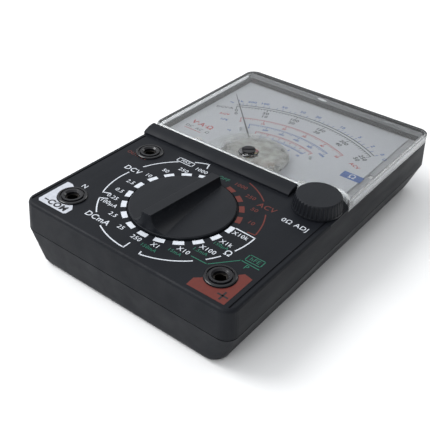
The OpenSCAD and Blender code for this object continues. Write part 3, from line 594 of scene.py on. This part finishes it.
def clear_cover():
    """The moulded cover with rounded edges; its upright walls are a little hazy."""
    data = bmesh.new()

    def loop(points, z):
        return [data.verts.new((x * MM, y * MM, z * MM)) for x, y in points]

    def bridge(first, second, finish):
        for i in range(len(first)):
            j = (i + 1) % len(first)
            data.faces.new((first[i], first[j], second[j], second[i])).material_index = finish

    def fill(outer, inner):
        rims = [data.edges.get((ring[i], ring[(i + 1) % len(ring)]))
                for ring in (outer, inner) for i in range(len(ring))]
        bmesh.ops.triangle_fill(data, use_beauty=True, use_dissolve=False, edges=rims)

    def lofted(stations, start):
        loops = [start]
        for inset, z in stations:
            made = loop(cover_outline(inset), z)
            bridge(loops[-1], made, 1)
            loops.append(made)
        return loops[-1]

    outer_foot = loop(cover_outline(0.0), COVER_FOOT_Z)
    inner_foot = loop(cover_outline(COVER_T), COVER_FOOT_Z)
    bridge(outer_foot, inner_foot, 1)
    outer_top = lofted([(0.0, COVER_TOP_Z - 0.9)] + rounding(0.9, 0.0, COVER_TOP_Z), outer_foot)
    inner_top = lofted([(COVER_T, COVER_INSIDE_Z - 0.5)]
                       + rounding(0.5, COVER_T, COVER_INSIDE_Z), inner_foot)
    boss = [(BOSS_R, COVER_TOP_Z), (BOSS_R, COVER_TOP_Z + 0.18), (BOSS_R - 0.15, COVER_TOP_Z + 0.3),
            (2.1, COVER_TOP_Z + 0.3), (2.0, COVER_TOP_Z + 0.2), (2.0, COVER_INSIDE_Z - 0.2),
            (BOSS_R, COVER_INSIDE_Z - 0.2), (BOSS_R, COVER_INSIDE_Z)]
    rings = [loop(arc_points(ZERO_SCREW, radius, 0, 360 - 7.5, 47), z) for radius, z in boss]
    for first, second in zip(rings, rings[1:]):
        bridge(first, second, 0)
    fill(outer_top, rings[0])
    fill(inner_top, rings[-1])
    bmesh.ops.recalc_face_normals(data, faces=data.faces)
    mesh = bpy.data.meshes.new("clear_cover")
    data.to_mesh(mesh)
    data.free()
    mesh.materials.append(FINISH["cover"])
    mesh.materials.append(FINISH["cover_wall"])
    piece = bpy.data.objects.new("clear_cover", mesh)
    scene.collection.objects.link(piece)
    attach(piece, "case")
    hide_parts("window_cover")


def gate_mark():
    """The small moulding mark left on the inside of the cover's far wall, whitish as a painted highlight.
    """
    data = bmesh.new()
    bmesh.ops.create_icosphere(data, subdivisions=3, radius=1.0)
    size = Matrix.Diagonal((2.6 * MM, 0.7 * MM, 0.5 * MM, 1.0))
    data.transform(Matrix.Translation((-5.0 * MM, 71.4 * MM, 28.6 * MM)) @ size)
    mesh = bpy.data.meshes.new("cover_gate_mark")
    data.to_mesh(mesh)
    data.free()
    mesh.polygons.foreach_set("use_smooth", [True] * len(mesh.polygons))
    mesh.materials.append(FINISH["gate"])
    piece = bpy.data.objects.new("cover_gate_mark", mesh)
    scene.collection.objects.link(piece)
    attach(piece, "case")


clear_cover()
gate_mark()


# ---------------------------------------------------------------- frosted arch under the cover

def arch_outline(width, top, foot, count=40):
    points = []
    for i in range(count + 1):
        turn = math.pi * i / count
        points.append((ZERO_SCREW[0] + width * math.cos(turn),
                       foot + (top - foot) * math.sin(turn) ** 0.72))
    return points


def arch_patch():
    """A thin lacquered patch on the cover's inside, open around the zero screw."""
    data = bmesh.new()
    outer = arch_outline(18.0, 22.5, 1.2)
    count = len(outer)
    inner = [polar(ZERO_SCREW, 4.5, 180.0 * i / (count - 1)) for i in range(count)]
    below = [polar(ZERO_SCREW, 4.5, 360.0 - 180.0 * i / (count - 1)) for i in range(count)]
    foot = [(outer[0][0] + (outer[-1][0] - outer[0][0]) * i / (count - 1), 1.2) for i in range(count)]
    for edge, hole in ((outer, inner), (foot, below)):
        for z in (COVER_INSIDE_Z - 0.25, COVER_INSIDE_Z - 0.03):
            rim = [data.verts.new((x * MM, y * MM, z * MM)) for x, y in edge]
            ring = [data.verts.new((x * MM, y * MM, z * MM)) for x, y in hole]
            for i in range(count - 1):
                data.faces.new((rim[i], rim[i + 1], ring[i + 1], ring[i]))
    bmesh.ops.remove_doubles(data, verts=data.verts, dist=1e-6)
    bmesh.ops.recalc_face_normals(data, faces=data.faces)
    mesh = bpy.data.meshes.new("frosted_arch")
    data.to_mesh(mesh)
    data.free()
    mesh.materials.append(FINISH["frosted"])
    piece = bpy.data.objects.new("frosted_arch", mesh)
    scene.collection.objects.link(piece)
    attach(piece, "case")


arch_patch()


# ---------------------------------------------------------------- floor, light and camera

def floor():
    data = bpy.data.meshes.new("floor")
    reach = 6.0
    corners = [(-reach, -reach), (reach, -reach), (reach, reach), (-reach, reach)]
    data.from_pydata([(x, y, FLOOR_Z * MM) for x, y in corners], [], [(0, 1, 2, 3)])
    made = Shader("pale floor")
    made.set(Specular_IOR_Level=0.2)
    cloud = made.noise(180.0, 2.0)
    base = made.mix(made.remap(cloud, 0.0, 1.0), (0.90, 0.90, 0.90), (0.93, 0.93, 0.93))
    made.link(base, made.principled.inputs["Base Color"])
    made.link(made.remap(cloud, 0.6, 0.7), made.principled.inputs["Roughness"])
    data.materials.append(made.material)
    plane = bpy.data.objects.new("floor", data)
    scene.collection.objects.link(plane)


def area_light(name, at, aim, size, power):
    data = bpy.data.lights.new(name, "AREA")
    data.shape = "DISK"
    data.size = size
    data.energy = power
    lamp = bpy.data.objects.new(name, data)
    lamp.location = at
    lamp.rotation_euler = (Vector(aim) - Vector(at)).to_track_quat("-Z", "Y").to_euler()
    scene.collection.objects.link(lamp)


def studio():
    world = bpy.data.worlds.new("studio")
    world.use_nodes = True
    tree = world.node_tree
    sky = tree.nodes["Background"]
    sky.inputs["Color"].default_value = (0.96, 0.98, 1.0, 1.0)
    direction = tree.nodes.new("ShaderNodeTexCoord")
    toward = tree.nodes.new("ShaderNodeVectorMath")
    toward.operation = "DOT_PRODUCT"
    toward.inputs[1].default_value = Vector(BRIGHT_SIDE).normalized()
    glow = tree.nodes.new("ShaderNodeMapRange")
    glow.inputs["From Min"].default_value = -0.3
    glow.inputs["To Min"].default_value = 0.04
    glow.inputs["To Max"].default_value = 1.25
    tree.links.new(direction.outputs["Generated"], toward.inputs[0])
    tree.links.new(toward.outputs["Value"], glow.inputs["Value"])
    seen = tree.nodes.new("ShaderNodeLightPath")
    backdrop = tree.nodes.new("ShaderNodeMix")
    backdrop.inputs["B"].default_value = 1.0
    tree.links.new(seen.outputs["Is Camera Ray"], backdrop.inputs["Factor"])
    tree.links.new(glow.outputs["Result"], backdrop.inputs["A"])
    tree.links.new(backdrop.outputs["Result"], sky.inputs["Strength"])
    scene.world = world
    area_light("key", (-0.55, -0.25, 0.75), (0.0, 0.0, 0.02), 0.5, 5.0)
    area_light("front", (0.1, -0.8, 0.45), (0.0, -0.05, 0.02), 0.6, 2.0)
    area_light("back", (0.1, 0.9, 0.55), (0.0, 0.03, 0.03), 0.5, 1.5)
    area_light("under", (0.15, -0.2, -0.6), (0.0, 0.0, 0.0), 0.6, 9.0)


def camera():
    location = Vector(CAMERA_AT) * MM
    target = Vector(CAMERA_TARGET) * MM
    data = bpy.data.cameras.new("camera")
    data.lens = CAMERA_LENS
    data.sensor_width = 36.0
    data.clip_start = 0.01
    data.clip_end = 20.0
    holder = bpy.data.objects.new("camera", data)
    facing = (target - location).to_track_quat("-Z", "Y")
    tilt = Euler((0.0, 0.0, math.radians(CAMERA_ROLL)))
    holder.matrix_world = (Matrix.Translation(location) @ facing.to_matrix().to_4x4()
                           @ tilt.to_matrix().to_4x4())
    scene.collection.objects.link(holder)
    scene.camera = holder


floor()
studio()
camera()
scene.view_settings.view_transform = "Standard"
scene.view_settings.look = "None"
